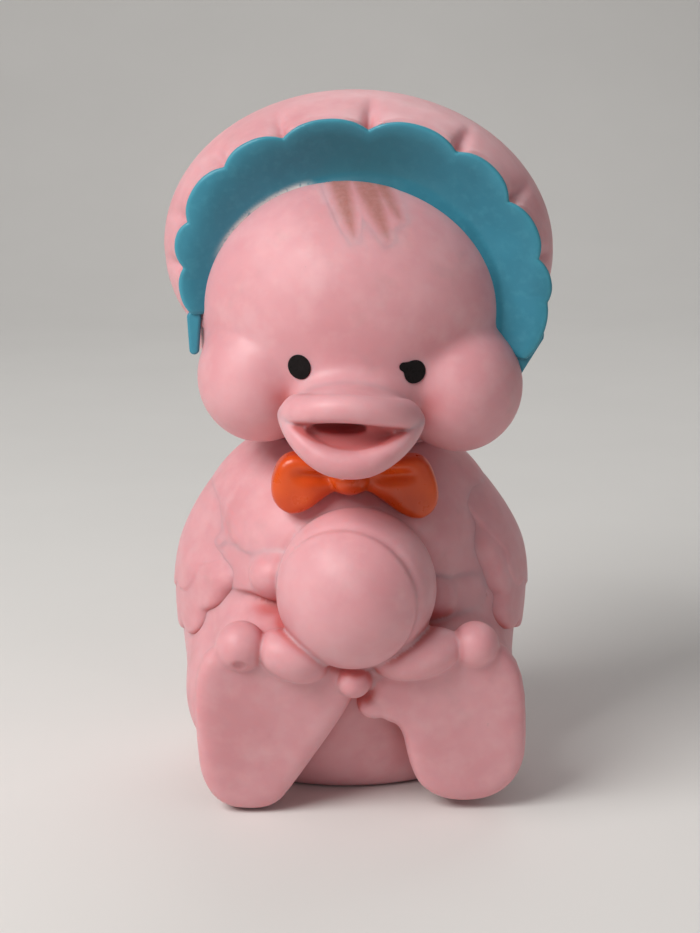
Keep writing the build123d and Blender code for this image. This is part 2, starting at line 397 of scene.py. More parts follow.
def moulded(name, skin, box, step, pose, material, region=None, crease=None, least_shade=None):
    """One closed piece of a moulding, shaded with the whole moulding's own normals.

    The field given after region is the one that the painted shade in the creases is worked out from, if
    it isn't the skin itself.
    The last argument, if given, is the least value of that painted shade at each point.
    """
    fields = [skin] if region is None else [skin, region]
    points, quads, caps = largest_shell(*contour(fields, box[0], box[1], step))
    normal = unit_rows(slope_of(skin, points))
    corner = normal[quads]
    if caps.any():
        edge_a = points[quads[caps, 2]] - points[quads[caps, 0]]
        edge_b = points[quads[caps, 3]] - points[quads[caps, 1]]
        corner[caps] = unit_rows(np.cross(edge_a, edge_b))[:, None, :]
    # Painted shade: how enclosed each vertex is, which the material paints a darker red.
    marks = {"crease": hollow(crease or skin, points, normal, CREASE_SHADE_REACH)}
    if least_shade is not None:
        marks["crease"] = np.maximum(marks["crease"], least_shade(points))
    return mesh_piece(name, points, quads, pose, material, corner.reshape(-1, 3), marks)


# -------- head forms, in the head's frame

CRANIUM = ((-2.4, 3.3, 91.2), (30.6, 28.0, 27.0))
NAPE = ((0.0, 4.0, 77.0), (22.0, 21.0, 13.5))
CHEEK_SPOTS = ((18.0, -9.2, 78.6), (-18.2, -9.6, 78.6))
CHEEK_RADII = (11.8, 13.0, 12.2)
CHEEK_FILLET = 2.4
BROW = ((-0.6, -3.2, 82.6), (26.0, 18.7, 7.0))
MUZZLE = ((-0.4, -18.0, 77.5), (11.0, 10.5, 6.0))
BILL_DROOP = 0.018  # how far the bill's corners hang down, per square millimetre from its middle
BILL_MIDDLE_X = -0.8
UPPER_PLATE = ((BILL_MIDDLE_X, -27.0, 78.2), (11.4, 11.0, 2.8))
UPPER_ROLL = ((-27.6, 10.3, 9.4), 78.7, 0.0, 2.35)  # y and radii in plan, z, rise to the sides, radius
LOWER_BOWL = ((BILL_MIDDLE_X, -26.4, 75.4), (11.2, 10.8, 8.8))
LOWER_ROLL = ((-27.4, 10.3, 9.4), 68.7, 0.040, 2.6)
LOWER_LIP_TOP = 76.6
LIP_OPENING = ((BILL_MIDDLE_X, 1.2, 74.0), (8.3, 4.2, 2.8))  # its y counts outwards from the lip's ring
BEHIND = -9.0  # stands for the distance outwards of everything behind the lips' front half
THROAT = ((-2.6, -32.6, 74.7), (4.4, 3.4, 1.0))


def ring_distance(p, plan):
    """Distance in plan outwards from the bill's oval edge."""
    y, rx, ry = plan
    return (np.hypot((p[:, 0] - BILL_MIDDLE_X) / rx, (p[:, 1] - y) / ry) - 1) * (rx + ry) / 2


def lip_roll(p, plan, height, rise, radius):
    """The rounded lip: a rod bent round the front of the bill, which may rise to the corners."""
    y = plan[0]
    dx, dy = p[:, 0] - BILL_MIDDLE_X, p[:, 1] - y
    rod = np.hypot(ring_distance(p, plan), p[:, 2] - height - rise * dx**2) - radius
    return meet(rod, dy, 3.0)


def bill_height(p):
    """Height of a point, with the droop of the bill's corners taken out."""
    return p[:, 2] + BILL_DROOP * (p[:, 0] - BILL_MIDDLE_X) ** 2


def lip_opening(p):
    """Distance to the shallow bowl between the lips, which is bent round the bill's front."""
    outwards = np.where(p[:, 1] < LOWER_ROLL[0][0], ring_distance(p, LOWER_ROLL[0]), BEHIND)
    return ellipsoid(np.stack([p[:, 0], outwards, bill_height(p)], 1), *LIP_OPENING)


def mouth_shade(p):
    """Painted shade in the bowl between the lips: how red and dark it is painted there."""
    recessed = 1 - ease(ring_distance(p, LOWER_ROLL[0]), -0.8, 2.2)
    return 0.95 * recessed * (1 - ease(lip_opening(p), -0.3, 2.0))


def head_forms(p):
    """Distances to the head's forms, in the order of HEAD_PIECES."""
    face = join(ellipsoid(p, *CRANIUM), ellipsoid(p, *NAPE), 6)
    cheeks = join(*(ellipsoid(p, spot, CHEEK_RADII) for spot in CHEEK_SPOTS), 4)
    face = join(face, join(cheeks, ellipsoid(p, *BROW), 6), CHEEK_FILLET)
    face = join(face, ellipsoid(p, *MUZZLE), 6)
    drooped = np.stack([p[:, 0], p[:, 1], bill_height(p)], 1)
    upper = join(ellipsoid(drooped, *UPPER_PLATE), lip_roll(drooped, *UPPER_ROLL), 2.5)
    lower = meet(ellipsoid(p, *LOWER_BOWL), drooped[:, 2] - LOWER_LIP_TOP, 1.6)
    lower = join(cut(lower, lip_opening(p), 2.0), lip_roll(p, *LOWER_ROLL), 2.0)
    throat = ellipsoid(p, *THROAT)
    return face, cut(upper, throat, 1.0), cut(lower, throat, 1.8)


def head_skin(p):
    """The blended skin of face and bill, cut off at the neck."""
    face, upper, lower = head_forms(p)
    bill = join(upper, lower, 1.0)
    skin = cut(join(face, bill, 2.6), ellipsoid(p, *THROAT), 1.0)
    return meet(skin, NECK_Z + 0.2 - p[:, 2], 1.2)


# -------- bonnet, in the head's frame

CROWN = ((-1.9, 5.0, 101.6), (36.5, 35.0, 29.0))
BRIM_CENTRE = (-0.5, 96.0)
# Angles in degrees from the top, and radii, of the notches between the brim's scallops.
NOTCH_ANGLES = np.array([-103.0, -86.5, -72, -51, -30, 0, 32, 56.5, 78, 92, 112])
NOTCH_RADII = np.array([31.1, 32.6, 33.6, 32.8, 30.3, 28.4, 29.8, 30.7, 32.4, 33.8, 32.6])
LOBE_HEIGHTS = np.array([1.4, 1.7, 1.9, 1.7, 1.7, 1.9, 1.9, 1.7, 1.2, 0.9])
BRIM_FRONT_TOP = -15.5  # y of the brim's outer edge over the forehead
BRIM_FRONT_SIDE = -11.5  # and beside the cheeks
BRIM_DEEP_Y = -9.6  # y of the brim's root against the head
BRIM_MIDDLE_RADIUS = 32.0
OPEN_END_RADIUS = 30.0  # the radius at which the length past the brim's open ends is measured
BRIM_TUCK = 1.2  # how far the brim's root is pulled in where it meets the head
OPENING_TOP = 18.0  # radius of the head's opening over the forehead
OPENING_GAIN = 8.0 / 1.2  # how fast the opening widens towards the cheeks
LINING_THICK = 1.5
PLEAT_DEPTH = 1.3
PLEAT_HALF_ANGLE = 2.1
PLEAT_LENGTH = 6.5
CROWN_RISE = 11.0  # how far behind the rim the crown has reached its full puff


def polar(p):
    """Radius, and angle from the top in degrees, round the bonnet's own middle."""
    dx, dz = p[:, 0] - BRIM_CENTRE[0], p[:, 2] - BRIM_CENTRE[1]
    return np.hypot(dx, dz), np.degrees(np.arctan2(dx, dz))


def scallop_radius(angle):
    """The brim's outer radius: an arc from each notch to the next."""
    a = np.clip(angle, NOTCH_ANGLES[0], NOTCH_ANGLES[-1] - 1e-6)
    i = np.clip(np.searchsorted(NOTCH_ANGLES, a, side="right") - 1, 0, len(LOBE_HEIGHTS) - 1)
    t = (a - NOTCH_ANGLES[i]) / (NOTCH_ANGLES[i + 1] - NOTCH_ANGLES[i])
    straight = NOTCH_RADII[i] * (1 - t) + NOTCH_RADII[i + 1] * t
    return straight + LOBE_HEIGHTS[i] * (1 - np.abs(2 * t - 1) ** 2.4)


def opening_radius(angle):
    """Radius of the head's opening in the brim."""
    return OPENING_TOP + OPENING_GAIN * (1 - np.cos(np.radians(angle * 0.95)))


def brim_y(radius, angle):
    """The dished front face of the brim: it runs forward from the head to the scalloped edge."""
    inner, outer = opening_radius(angle), BRIM_MIDDLE_RADIUS
    front = BRIM_FRONT_SIDE + (BRIM_FRONT_TOP - BRIM_FRONT_SIDE) * np.cos(
        np.radians(np.clip(np.abs(angle), 0, 90))
    )
    s = (radius - inner) / (outer - inner)
    rise = ease(s, 0.1, 1.1)
    return BRIM_DEEP_Y + (front - BRIM_DEEP_Y) * rise - BRIM_TUCK * (1 - ease(s, -0.1, 0.22))


def lining_skin(p):
    """The painted lining: a dished plate with a scalloped outer edge and open ends."""
    radius, angle = polar(p)
    sheet = np.abs(p[:, 1] - brim_y(radius, angle) - LINING_THICK / 2) - LINING_THICK / 2
    outline = radius - scallop_radius(angle)
    ring = meet(sheet, outline, 1.3)
    ring = meet(ring, opening_radius(angle) - 1.5 - radius, 0.6)
    first, last = NOTCH_ANGLES[0], NOTCH_ANGLES[-1]
    past = np.radians(np.maximum(first - angle, angle - last)) * OPEN_END_RADIUS
    return meet(ring, past, 2.0)


def crown_skin(p):
    """The puffed crown: it starts at the scalloped edge and has a pleat behind each notch."""
    radius, angle = polar(p)
    rim = scallop_radius(angle) + 0.5
    full = ellipsoid(p, *CROWN)
    behind_rim = p[:, 1] - brim_y(rim, angle)
    tuck = np.clip(1 - behind_rim / CROWN_RISE, 0, 1.3) ** 2
    near_rim = np.maximum(radius - rim, full)
    puff = full + tuck * np.clip(near_rim - full, -1, 7)
    from_notch = np.min(np.abs(angle[:, None] - NOTCH_ANGLES), axis=1)
    pleat = np.exp(-((from_notch / PLEAT_HALF_ANGLE) ** 2) - ((behind_rim - 1.5) / PLEAT_LENGTH) ** 2)
    puff = puff + PLEAT_DEPTH * pleat * (radius > 20)
    return meet(puff, brim_y(radius, angle) + LINING_THICK * 0.6 - p[:, 1], 1.2)


TIE_THICK = 2.0
TIES = {  # top, lower end, both half-widths, and y of the front face
    "bonnet_tie_right": ((-31.0, 0, 88.8), (-30.8, 0, 82.8), 1.3, 0.9, -10.4),
    "bonnet_tie_left": ((30.4, 0, 88.6), (28.8, 0, 82.2), 2.7, 1.0, -10.0),
}


# -------- painted marks on the face

EYES = {  # x, z, half-width, half-height and lean in degrees
    "eye_right": (-10.6, 82.9, 2.05, 2.25, -22.0),
    "eye_left": (9.9, 82.9, 1.9, 2.1, 8.0),
}
PAINT_THICK = 0.2
HAIR_THICK = 0.09


def eye_outline(name, p):
    """Oval of paint; the left one has the ragged corner of a slipped brush."""
    x, z, half_width, half_height, lean = EYES[name]
    flat = (p - (x, 0, z)) * (1, 0, 1)
    oval = ellipsoid(flat, (0, 0, 0), (half_width, FLAT, half_height), lean)
    if name == "eye_left":
        tail = capsule(flat, (-2.0, 0, 0.9), (-0.6, 0, 0.7), 0.8, 1.1)
        nick = np.hypot(flat[:, 0] + 1.3, flat[:, 2] - 2.35) - 0.45
        oval = cut(join(oval, tail, 0.6), nick, 0.3)
    return oval


# Hair strokes: start x, z, end x, z, half-width at the start.
HAIR_STROKES = (
    (-5.4, 115.0, -2.0, 106.2, 2.1),
    (-0.8, 115.4, 4.0, 106.0, 2.3),
    (1.8, 115.0, 6.0, 109.2, 1.5),
    (17.6, 107.9, 18.3, 106.5, 0.7),
)


def hair_depth(p):
    """How deep inside the sprayed hair a point lies, in millimetres."""
    depth = np.full(len(p), -9.0)
    for ax, az, bx, bz, half in HAIR_STROKES:
        d = np.array([bx - ax, bz - az])
        length = np.linalg.norm(d)
        u = ((p[:, 0] - ax) * d[0] + (p[:, 2] - az) * d[1]) / length
        v = ((p[:, 0] - ax) * d[1] - (p[:, 2] - az) * d[0]) / length
        width = half * np.clip(1 - u / length, 0, 1) ** 0.6
        end = np.minimum(u + 2.5, length - u)
        depth = np.maximum(depth, np.minimum(width - np.abs(v), end))
    return depth


def eye_coat(name, p):
    """A thin coat that lies on the face inside an eye's outline."""
    skin = head_skin(p)
    coat = meet(skin - PAINT_THICK, eye_outline(name, p), PAINT_THICK)
    return meet(coat, -skin - 0.5, 0.1)


def hair_coat(p):
    """A coat that thins out to nothing towards its edge."""
    skin, depth = head_skin(p), hair_depth(p)
    coat = skin - HAIR_THICK * (ease(depth, -1.6, 0.2) - 0.1)
    return np.maximum(coat, np.maximum(-1.6 - depth, -skin - 2.0))


# -------- body forms, in the body's frame

BELLY = ((0, 7, 31), (32.8, 28, 34))
CHEST = ((0, 6, 48), (28.4, 21.5, 22))
HIPS = ((0, 7, 14), (30.0, 24, 24))
BREAST = ((0, -4.5, 52.5), (19.5, 15.5, 11.5))
THIGHS = ((19.6, -6.0, 18.5), (-19.6, -6.0, 18.5))
THIGH_RADII = (12.0, 18.0, 14.5)
INSTEPS = (
    ((-14.5, -16.0, 30.5), (10.5, 11.5, 7.0)),
    ((15, -16.0, 29.5), (10.5, 11.5, 7.0)),
    ((1.5, -19.0, 29.0), (9.5, 9.8, 6.0)),
)
# Low reliefs on the trunk, seen from the front: corners, rounding and height.
PUFFS = (
    ((-21.6, 53.0), (-21.0, 50.0), (-18.6, 48.4), (-13.5, 47.4), (-2, 50), (-4, 62), (-14, 62)),
    ((11, 45.0), (22.2, 44.2), (23.4, 50), (18, 60), (4, 62)),
)
PUFF_ROUND = 1.8
PUFF_HEIGHT = 2.0
HANDS = {  # both ends of the band in the front view, its half-height, and the middle of the tip
    "hand_right": ((-26, 44.0), (-13.5, 44.4), 4.3, (-13.8, -18.6, 44.0)),
    "hand_left": ((26, 38.6), (12.5, 39.2), 3.8, (13.6, -18.6, 39.2)),
}
HAND_HEIGHT = 2.0
HAND_FADE = (26.0, 19.5)  # x over which a hand sinks under its wing
BALL_CENTRE = np.array((0.3, -25.2, 43.6))
BALL_R = 14.7
CAP_AXIS = np.array((-0.30, -0.95, -0.06))  # middle of the ball's raised panel
CAP_HALF_ANGLE = 61.0

# Soles seen from the front: corners of the outline before it is rounded outwards.
SOLE_ROUND = 3.5
SOLES = {
    "foot_right": (
        (-19.4, 3.6), (-23.0, 4.4), (-24.8, 7.6), (-25.4, 12), (-26.0, 28), (-22, 32), (-13, 29.6),
        (-3.4, 27.0), (-3.2, 24.2), (-14.8, 6.2), (-16.6, 4.0),
    ),
    "foot_left": (
        (20.2, 4.8), (16.4, 5.6), (13.9, 8.2), (11.6, 19.6), (4.8, 22.4), (9, 28.4),
        (21.4, 32.0), (27.2, 28.5), (28.4, 13), (27.4, 8.2), (24.6, 5.4),
    ),
}
# Corners of the box that each foot's field is worked out in.
FOOT_SPACE = {"foot_right": ((-42, -48, -12), (14, -8, 50)), "foot_left": ((-12, -48, -12), (44, -8, 50))}
SOLE_FRONT_Y = -25.0
SOLE_LEAN = 0.155
TOES = {  # middle, radii and turn of each ball of toe
    "foot_right": (
        ((-20.6, -27.8, 33.6), (4.6, 4.6, 4.6), 0),
        ((-11.4, -28.2, 31.8), (6.8, 5.6, 4.5), 23),
        ((-0.3, -28.4, 27.0), (3.1, 3.4, 3.1), 0),
    ),
    "foot_left": (
        ((21.6, -28.0, 33.5), (4.3, 4.5, 4.2), 0),
        ((11.4, -28.4, 32.0), (8.2, 5.6, 4.5), -14),
        ((3.6, -24.6, 21.6), (3.2, 3.4, 3.0), 0),
    ),
}
KNOB_DIMPLE = (-20.9, -31.8, 30.7)
KNOB_DIMPLE_R = 1.3

WING_THICK = {"wing_right": 1.7, "wing_left": 2.7}
# Feathered wing over each flank, in the side view: circles (y, z, radius) whose union is its outline.
WING_LOBES = {
    "wing_right": (
        (-9.0, 42.6, 4.6), (-7.0, 39.0, 4.7), (-3.0, 33.4, 5.2), (4.0, 32.2, 5.0), (10.8, 31.6, 5.2),
        (17.0, 32.8, 5.0), (21.0, 36.8, 4.8), (22.0, 42.6, 4.6),
    ),
    "wing_left": (
        (-5.0, 46.0, 5.0), (-4.8, 40.5, 5.0), (-4.2, 34.0, 5.0), (2.4, 32.2, 5.0), (8.8, 31.6, 5.2),
        (15.0, 32.6, 5.2), (20.2, 36.8, 4.8), (21.6, 42.8, 4.6),
    ),
}
WING_MIDDLE = ((6.0, 45.0), (16.0, 12.5))
SECOND_ROW = (0, 1.5, 8.5)  # where the upper row of feathers lies from the lower one
SECOND_ROW_HEIGHT = 0.35
WING_SINK = 0.3  # how far a wing lies under the body's skin where it has faded away
WING_ROOT = 8.0  # distance from the middle at which a wing ends inside the body
WING_BACK_DEPTH = 2.0  # how deep under the body's skin a wing's hidden face lies

SQUEAKER_HOLES = ((10.4, -5.0, 1.8), (8.0, -5.0, 4.2), (10.5, 4.0, 22.0))  # radius, low, high


def trunk(p):
    """Chest, belly, hips and thighs in one smooth form, cut at the neck and at the base."""
    form = join(join(ellipsoid(p, *BELLY), ellipsoid(p, *CHEST), 9), ellipsoid(p, *HIPS), 9)
    form = join(form, ellipsoid(p, *BREAST), 7)
    for middle in THIGHS:
        form = join(form, ellipsoid(p, middle, THIGH_RADII), 5)
    form = meet(form, p[:, 2] - (NECK_Z - 0.2), 1.6)
    return meet(form, -p[:, 2], 2.6)


def front_only(p):
    """Keeps a relief, which is drawn in the front view, off the back."""
    return p[:, 1] - 2.0


def torso_form(p, base):
    """The trunk with its insteps, and the two puffs of down over the hands."""
    form = base
    for centre, radii in INSTEPS:
        form = join(form, ellipsoid(p, centre, radii), 5)
    height = PUFF_HEIGHT * (1 - ease(p[:, 2], 49, 61))
    for corners in PUFFS:
        outline = partial(front_outline, corners, PUFF_ROUND)
        edge = within(p, (-40, -40, 38), (40, 8, 80), outline)
        relief = base - height * (1 - ease(p[:, 0], 17, 24))
        puff = meet(meet(relief, edge, 3.0), front_only(p), 3.0)
        form = join(form, puff, 2.0)
    return form


def hand_form(name, p, base):
    """A wing's bare end, laid in low relief from the flank to the ball."""
    (ax, az), (bx, bz), half_height, tip = HANDS[name]
    band = capsule(p * (1, 0, 1), (ax, 0, az), (bx, 0, bz), half_height, half_height)
    height = HAND_HEIGHT * ease(np.abs(p[:, 0]), *HAND_FADE) - 0.2
    relief = meet(meet(base - height, band, 3.4), front_only(p), 3.0)
    return join(relief, ellipsoid(p, tip, (5.2, 3.8, 4.0)), 4.0)


def ball_form(p):
    """A ball with one raised panel, whose edge is a soft step."""
    q = p - BALL_CENTRE
    reach = np.linalg.norm(q, axis=1)
    axis = CAP_AXIS / np.linalg.norm(CAP_AXIS)
    angle = np.degrees(np.arccos(np.clip(q @ axis / np.maximum(reach, 1e-6), -1, 1)))
    panel = 0.5 * (1 - ease(angle, CAP_HALF_ANGLE - 3, CAP_HALF_ANGLE + 4))
    groove = 0.2 * np.exp(-(((angle - CAP_HALF_ANGLE - 5) / 3.5) ** 2))
    return reach - BALL_R - panel + groove + 0.3


def rounded(corners):
    """The outline with each corner cut off twice, close to a smooth curve."""
    c = np.array(corners, float)
    for _ in range(2):
        after = np.roll(c, -1, axis=0)
        c = np.stack([0.75 * c + 0.25 * after, 0.25 * c + 0.75 * after], 1).reshape(-1, 2)
    return c


def foot_form(name, p):
    """A webbed foot: a thick leaning sole with balls of toe along its top."""
    middle = SOLE_FRONT_Y - SOLE_LEAN * p[:, 2] + SOLE_ROUND
    outline = front_outline(rounded(SOLES[name]), SOLE_ROUND, p)
    form = meet(outline, np.abs(p[:, 1] - middle) - SOLE_ROUND, 5.0)
    toes = np.full(len(p), 1e3)
    for centre, radii, turn in TOES[name]:
        toes = join(toes, ellipsoid(p, centre, radii, turn), 1.0)
    form = join(form, toes, 0.9)
    if name == "foot_right":
        form = cut(form, np.linalg.norm(p - np.array(KNOB_DIMPLE), axis=1) - KNOB_DIMPLE_R, 0.8)
    return meet(form, -p[:, 2], 2.0)


def squeaker_hole(p):
    """The stepped hole in the base that grips the squeaker."""
    away = np.hypot(p[:, 0], p[:, 1] - AXIS_Y)
    hole = np.full(len(p), 1e3)
    for radius, low, high in SQUEAKER_HOLES:
        tube = np.maximum(away - radius, np.maximum(low - p[:, 2], p[:, 2] - high))
        hole = np.minimum(hole, tube)
    return hole


def body_forms(p):
    """Distances to the body's forms, in the order of BODY_PIECES."""
    base = trunk(p)
    hands = [hand_form(name, p, base) for name in HANDS]
    feet = [within(p, *space, partial(foot_form, name)) for name, space in FOOT_SPACE.items()]
    return [torso_form(p, base), ball_form(p), *hands, *feet]


def body_skin(p):
    """The blended skin of the whole seated body, without its wings."""
    skin, ball, *limbs = body_forms(p)
    for limb, fillet in zip(limbs, (1.8, 1.8, 2.2, 2.2)):
        skin = join(skin, limb, fillet)
    return cut(join(skin, ball, 1.6), squeaker_hole(p), 0.3)


def wing_outline(name, p):
    """Distance, in the side view, to the feathered outline."""
    (cy, cz), (ry, rz) = WING_MIDDLE
    outline = ellipsoid(p * (0, 1, 1), (0, cy, cz), (FLAT, ry, rz))
    for y, z, radius in WING_LOBES[name]:
        lobe = np.hypot(p[:, 1] - y, p[:, 2] - z) - radius
        outline = join(outline, lobe, 1.8)
    return outline


def wing_skin(name):
    """Outer face of a wing, thick at its feathered edge and fading into the shoulder."""
    side = -1 if name == "wing_right" else 1
    full = WING_THICK[name]

    def skin(p):
        fade = 1 - ease(p[:, 2], 43, 60)
        fade *= 1 - ease(p[:, 2], 41, 48) * (1 - ease(p[:, 1], -11, 5)) * (side < 0)
        base = trunk(p)
        outline = wing_outline(name, p)
        upper = wing_outline(name, p - np.array(SECOND_ROW))
        thick = (full + WING_SINK) * fade * (0.6 + 0.4 * ease(p[:, 2], 27, 42)) - WING_SINK
        row = meet(base - thick, outline, 2.0)
        second = meet(base - thick - SECOND_ROW_HEIGHT * fade, upper, 0.8)
        return np.maximum(join(row, second, 0.5), WING_ROOT - side * p[:, 0])

    return skin


def wing_back(p):
    """The wing's hidden inner face, under the body's skin."""
    return -trunk(p) - WING_BACK_DEPTH


# -------- bow, in the body's frame

BOW_ROUND = 2.2
BOW_LOOPS = {  # corners in the front view, before they are rounded
    "bow_loop_right": ((-2, 63.4), (-2, 62.4), (-5.0, 62.0), (-10.4, 58.0), (-12.6, 59.0),
                       (-12.9, 61.6), (-11.6, 64.9), (-9.5, 64.8), (-6, 63.6)),
    "bow_loop_left": ((1.4, 63.4), (1.4, 62.4), (4.0, 62.0), (11.0, 56.8), (13.2, 58.0),
                      (13.2, 60.6), (11.8, 64.4), (9.5, 64.4), (5.5, 63.6)),
}
BOW_FRONT_Y = -22.3
BOW_THICK = 7.0
KNOT = ((-0.7, -19.6, 62.3), (3.7, 4.0, 2.8))


def bow_loop(name, p):
    """A fan that widens from the knot, with a fold that runs out from it."""
    side = -1 if name == "bow_loop_right" else 1
    along = side * p[:, 0]
    outline = front_outline(rounded(BOW_LOOPS[name]), BOW_ROUND, p)
    fold_z = 62.6 + 0.10 * along
    fold = 1.1 * np.exp(-(((p[:, 2] - fold_z) / 1.1) ** 2)) * ease(along, 3, 6) * (
        1 - ease(along, 8, 12)
    )
    front = BOW_FRONT_Y + (1 - ease(along, 3, 9)) + 0.012 * (along - 8) ** 2 + fold
    middle = front + BOW_THICK / 2
    sheet = np.abs(p[:, 1] - middle) - BOW_THICK / 2
    return meet(outline, sheet, 3.2)


def bow_forms(p):
    """Distances to the knot and the two loops, in the order of BOW_PIECES."""
    return [ellipsoid(p, *KNOT), *(bow_loop(name, p) for name in BOW_LOOPS)]


def bow_skin(p):
    knot, right, left = bow_forms(p)
    return join(knot, np.minimum(right, left), 0.9)


# -------- materials


class Nodes:
    """A new material with a Principled shader, and short ways to add the nodes that feed it."""

    def __init__(self, name, roughness, coat=0.0, subsurface=0.0, radius=(1, 0.4, 0.3), scale=0.001):
        self.material = bpy.data.materials.new(name)
        self.material.use_nodes = True
        self.tree = self.material.node_tree
        self.shader = next(n for n in self.tree.nodes if n.type == "BSDF_PRINCIPLED")
        self.set("Roughness", roughness)
        self.set("Coat Weight", coat)
        self.set("Subsurface Weight", subsurface)
        self.set("Subsurface Radius", radius)
        self.set("Subsurface Scale", scale)
        self.place = self.add("ShaderNodeTexCoord").outputs["Object"]

    def set(self, socket, value):
        self.shader.inputs[socket].default_value = value

    def add(self, kind, **settings):
        node = self.tree.nodes.new(kind)
        for key, value in settings.items():
            setattr(node, key, value)
        return node

    def link(self, output, node_input):
        self.tree.links.new(output, node_input)

    def noise(self, size_mm, detail=3.0):
        """Noise from 0 to 1, with blotches about size_mm across."""
        node = self.add("ShaderNodeTexNoise")
        node.inputs["Scale"].default_value = 1000.0 / size_mm
        node.inputs["Detail"].default_value = detail
        node.inputs["Roughness"].default_value = 0.55
        self.link(self.place, node.inputs["Vector"])
        return node.outputs["Fac"]

    def mark(self, name):
        """A value worked out at each vertex of the mesh."""
        return self.add("ShaderNodeAttribute", attribute_name=name).outputs["Fac"]

    def curve(self, value, *stops):
        """A value passed through (position, result) stops."""
        node = self.add("ShaderNodeValToRGB")
        ramp = node.color_ramp
        while len(ramp.elements) < len(stops):
            ramp.elements.new(0.5)
        for element, (position, result) in zip(ramp.elements, stops):
            element.position = position
            element.color = (result, result, result, 1)
        self.link(value, node.inputs["Fac"])
        return node.outputs["Color"]

    def mix(self, factor, first, second):
        """Mix of two colours, each a tuple or another node's output."""
        node = self.add("ShaderNodeMix", data_type="RGBA")
        sockets = [node.inputs[i] for i in (0, 6, 7)]
        for socket, value in zip(sockets, (factor, first, second)):
            if isinstance(value, bpy.types.NodeSocket):
                self.link(value, socket)
            elif isinstance(value, tuple):
                socket.default_value = (*value, 1)
            else:
                socket.default_value = value
        return node.outputs[2]

    def times(self, first, second):
        """Product of two values from other nodes."""
        node = self.add("ShaderNodeMath", operation="MULTIPLY")
        self.link(first, node.inputs[0])
        self.link(second, node.inputs[1])
        return node.outputs[0]

    def bump(self, height, depth_mm, strength=1.0, after=None):
        node = self.add("ShaderNodeBump")
        node.inputs["Strength"].default_value = strength
        node.inputs["Distance"].default_value = depth_mm * MM
        self.link(height, node.inputs["Height"])
        if after is not None:
            self.link(after, node.inputs["Normal"])
        return node.outputs["Normal"]

    def finish(self, colour, roughness, normal=None):
        self.link(colour, self.shader.inputs["Base Color"])
        self.link(roughness, self.shader.inputs["Roughness"])
        if normal is not None:
            self.link(normal, self.shader.inputs["Normal"])
        return self.material


PINK = (0.74, 0.376, 0.408)
PINK_DEEP = (0.67, 0.302, 0.330)
PINK_PALE = (0.77, 0.445, 0.474)
# Dark red of the painted shade in the creases.
PINK_CREASE_SHADE = (0.57, 0.12, 0.115)
GRIME = (0.42, 0.30, 0.28)


def rubber_colour(n):
    """Blotchy pink rubber with faint grime and a few dark specks, and painted shade that turns its
    creases dark red.
    """
    colour = n.mix(n.curve(n.noise(16), (0.35, 0), (0.7, 1)), PINK, PINK_DEEP)
    colour = n.mix(n.curve(n.noise(5.5), (0.45, 0), (0.75, 0.5)), colour, PINK_PALE)
    # Painted shade: the more enclosed a point is, the darker and redder it is painted.
    crease = n.curve(n.mark("crease"), (0.24, 0), (0.50, 0.22), (0.85, 0.80))
    colour = n.mix(crease, colour, PINK_CREASE_SHADE)
    grime = n.curve(n.noise(7, 6), (0.60, 0), (0.80, 0.22))
    colour = n.mix(grime, colour, GRIME)
    specks = n.curve(n.noise(1.3, 1), (0.80, 0), (0.84, 0.5))
    return n.mix(specks, colour, GRIME)


def rubber_normal(n):
    """The fine unevenness of rotation-moulded rubber."""
    waves = n.bump(n.noise(3.2, 2), 0.10, 0.35)
    return n.bump(n.noise(0.45, 2), 0.02, 0.35, waves)


def rubber_nodes(name):
    """A satin material with light scattering under its surface."""
    n = Nodes(name, 0.42, subsurface=0.5, radius=(1.0, 0.22, 0.18), scale=0.0035)
    n.set("Specular IOR Level", 0.42)
    return n


def rubber_finish(n, colour):
    rough = n.curve(n.noise(4, 4), (0.3, 0.40), (0.75, 0.56))
    return n.finish(colour, rough, rubber_normal(n))


def pink_rubber():
    n = rubber_nodes("pink_rubber")
    return rubber_finish(n, rubber_colour(n))


def blue_paint():
    """Brushed satin paint, with a painted highlight along its scalloped edge, painted shade over the top
    away from the rim, and a painted highlight as a pale line along the head.
    """
    n = Nodes("blue_paint", 0.40, subsurface=0.08, radius=(0.3, 0.6, 0.7), scale=0.001)
    n.set("Specular IOR Level", 0.45)
    base = n.mix(n.curve(n.noise(9), (0.35, 0), (0.7, 1)), (0.034, 0.235, 0.335), (0.026, 0.190, 0.275))
    colour = n.mix(n.curve(n.noise(1.6, 5), (0.5, 0), (0.8, 0.5)), base, (0.060, 0.300, 0.400))
    # Painted highlight: lighter teal towards the scalloped rim.
    edge = n.curve(n.mark("edge"), (0.0, 0.45), (0.35, 0.12), (1.0, 0))
    colour = n.mix(edge, colour, (0.075, 0.40, 0.50))
    colour = n.mix(n.curve(n.mark("shade"), (0.2, 0), (1, 0.6)), colour, (0.018, 0.115, 0.155))
    # Painted highlight: a pale, broken line on the lining's lip where it meets the head.
    lip_highlight = n.times(n.mark("lip_highlight"), n.curve(n.noise(1.1, 4), (0.30, 0.2), (0.46, 1)))
    colour = n.mix(lip_highlight, colour, (0.72, 0.70, 0.68))
    strokes = n.add("ShaderNodeMapping")
    strokes.inputs["Scale"].default_value = (1.0, 1.0, 0.25)
    n.link(n.place, strokes.inputs["Vector"])
    streak = n.add("ShaderNodeTexNoise")
    streak.inputs["Scale"].default_value = 1100
    n.link(strokes.outputs["Vector"], streak.inputs["Vector"])
    waves = n.bump(streak.outputs["Fac"], 0.04, 0.4)
    return n.finish(colour, n.curve(n.noise(3, 3), (0.3, 0.34), (0.7, 0.5)), waves)


